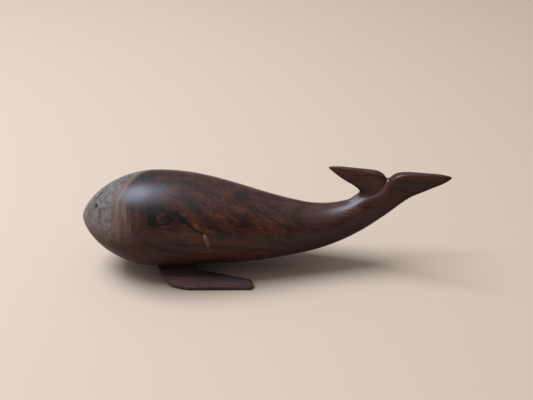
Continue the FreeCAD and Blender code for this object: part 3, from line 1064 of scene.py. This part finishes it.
def bodyWood():
    material, tree = newMaterial("carvedIronwood")
    place = millimetres(tree)
    waver = cloud(tree, place, (0.16, 0.16, 0.16))
    quiver = cloud(tree, place, (0.45, 0.45, 0.45), 3.0)
    upward = addNode(tree, "Attribute", {}, attribute_name="upward").outputs["Fac"]
    # 1 on faces that look up, which get the wax coat; the faces that look down get painted shade
    rubbedAndLit = fade(tree, upward, *ironwood["rubbedAndLitUpward"])
    colour = heartwood(tree, place, waver, rubbedAndLit)
    colour = drawPatch(tree, place, colour, waver, knot["centre"], haze)
    for figure in (embers, shadows, strokes, eye):
        colour = drawStrokes(tree, place, colour, quiver, figure)
    colour = sapwoodOver(tree, place, waver, colour)
    for figure in (scar, chips):
        colour = drawStrokes(tree, place, colour, quiver, figure)
    for spot in speckPlaces:
        colour = drawPatch(tree, place, colour, quiver, spot, speck)
    # painted shade in the worm hole and along the crack
    colour = drawPatch(tree, place, colour, quiver, flaws["holePlace"], paintedHoleShade)
    colour = drawStrokes(tree, place, colour, quiver, paintedCrackShade)
    polish = fade(tree, towards(tree, place, (1, 0, 0)), *ironwood["polishPlace"], ironwood["polish"])
    waxed(tree, colour, place, ironwood, polish, rubbedAndLit)
    return material


# the fins' wood: straight lengthwise grain, a little greyer
finWood = {
    "brown": (123, 82, 75),
    "red": (138, 90, 79),
    "glow": (155, 102, 85),
    "black": (30, 19, 20),
    "outward": (0.02, 0.5, 0.86),
    "slope": 0,
    "pithDepth": 120,
    "slowWaver": (0.012, 0.03, 0.03),
    "slowReach": 2,
    "quickWaver": (0.03, 0.2, 0.2),
    "quickReach": 0.7,
    "streaks": {
        "broad": (0.9, 60, 1),
        "swath": (0.3, 70, 0.25),
        "fibre": (0.8, 24, 0.5),
        "glow": (1.0, 30, 0.5),
        "vein": (1.2, 70, 0.6),
        "fleck": (1.6, 8, 0.4),
        "line": (0.5, 80, 0.4),
    },
    "shine": 0.28,
    "roughness": 0.44,
    # painted shade: darker near the root, under the belly, and along the edge on the floor
    "rootSlant": -0.1,
    "rootShade": (40.5, 35),
    "rootDepth": 0.8,
    "footShade": (4.4, 1.8),
    "footDepth": 0.7,
}
dowelWood = dict(finWood, brown=(150, 112, 76), red=(164, 122, 82), glow=(176, 136, 92), black=(104, 74, 50),
                 roughness=0.6)


def straightWood(name, wood, paintedShade):
    material, tree = newMaterial(name)
    place = millimetres(tree)
    axes = grainAxes(wood["outward"], wood["slope"])

    def fibre(pace, length, seed):
        return fibreNoise(tree, place, axes, pace, length, seed)

    colour = woodColour(tree, place, growthLayers(tree, place, wood), fibre, wood)
    if paintedShade:
        # painted shade along the joint under the belly, where the belly shades the blade, and on the edge that
        # stands on the floor
        across = calc(tree, "ABSOLUTE", towards(tree, place, (0, 1, 0)))
        across = plus(tree, across, towards(tree, place, (wood["rootSlant"], 0, 0)))
        root = fade(tree, across, *wood["rootShade"], wood["rootDepth"])
        foot = fade(tree, towards(tree, place, (0, 0, 1)), *wood["footShade"], wood["footDepth"])
        colour = blend(tree, calc(tree, "MAXIMUM", root, foot), colour, shade(wood["black"]))
    waxed(tree, colour, place, wood)
    return material


def finishWith(piece, material):
    piece.data.materials.clear()
    piece.data.materials.append(material)


finishWith(whaleBody, bodyWood())
finFinish = straightWood("finIronwood", finWood, paintedShade=True)
for blade in fins:
    finishWith(blade, finFinish)
dowelFinish = straightWood("dowelHardwood", dowelWood, paintedShade=False)
for name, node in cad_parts.items():
    if name.endswith("dowel"):
        finishWith(node, dowelFinish)
print("wood finished")

# the photograph's viewpoint: distance back, height and tilt below the horizon
viewpoint = {
    "place": (2.459, -561.25, 419.52),
    "tilt": 32.4,
    "focalPixels": 810,
    "imageWidth": 533,
    "sensorWidth": 36,
}
camera = bpy.data.objects.new("camera", bpy.data.cameras.new("camera"))
camera.location = Vector(viewpoint["place"]) * mm
camera.rotation_euler = (radians(90 - viewpoint["tilt"]), 0, 0)
camera.data.sensor_width = viewpoint["sensorWidth"]
camera.data.lens = viewpoint["sensorWidth"] * viewpoint["focalPixels"] / viewpoint["imageWidth"]
bpy.context.scene.collection.objects.link(camera)
bpy.context.scene.camera = camera

# the studio: a pale floor, a soft lamp overhead and a sky that is brightest at the top
studio = {
    "floor": (209, 187, 160),
    "floorReach": 3000,
    "floorRoughness": 0.8,
    "lampPlace": (-780, 120, 1620),
    "lampSize": (1050, 960),
    "lampPower": 43.9,
    "lampColour": (220, 230, 254),
    "skyTop": (188, 188, 196),
    "skyRim": (46, 42, 38),
    "skyLean": (-0.3, 0.15, 0.94),
    "skyReach": 0.95,
    "skyShown": (226, 216, 204),
}
reach = studio["floorReach"]
corners = [(-reach, -reach, 0), (reach, -reach, 0), (reach, reach, 0), (-reach, reach, 0)]
floor = finishMesh("floor", corners, [(0, 1, 2, 3)])
floorFinish, floorTree = newMaterial("paleFloor")
floorTree.nodes["Principled BSDF"].inputs["Base Color"].default_value = shade(studio["floor"])
floorTree.nodes["Principled BSDF"].inputs["Roughness"].default_value = studio["floorRoughness"]
floor.data.materials.append(floorFinish)

lamp = bpy.data.objects.new("overheadLamp", bpy.data.lights.new("overheadLamp", "AREA"))
lamp.data.shape = "RECTANGLE"
lamp.data.size, lamp.data.size_y = Vector(studio["lampSize"]) * mm
lamp.data.energy = studio["lampPower"]
lamp.data.color = shade(studio["lampColour"])[:3]
lamp.location = Vector(studio["lampPlace"]) * mm
lamp.rotation_euler = (-lamp.location).to_track_quat("-Z", "Y").to_euler()
bpy.context.scene.collection.objects.link(lamp)

world = bpy.data.worlds.new("sky")
world.use_nodes = True
skyTree = world.node_tree
height = towards(skyTree, addNode(skyTree, "TexCoord", {}).outputs["Generated"], studio["skyLean"])
sky = fade(skyTree, height, 0.0, studio["skyReach"])
sky = blend(skyTree, sky, shade(studio["skyRim"]), shade(studio["skyTop"]))
shown = addNode(skyTree, "LightPath", {}).outputs["Is Camera Ray"]
sky = blend(skyTree, shown, sky, shade(studio["skyShown"]))
skyTree.links.new(sky, skyTree.nodes["Background"].inputs["Color"])
bpy.context.scene.world = world
bpy.context.scene.view_settings.view_transform = "Standard"
print("studio ready")
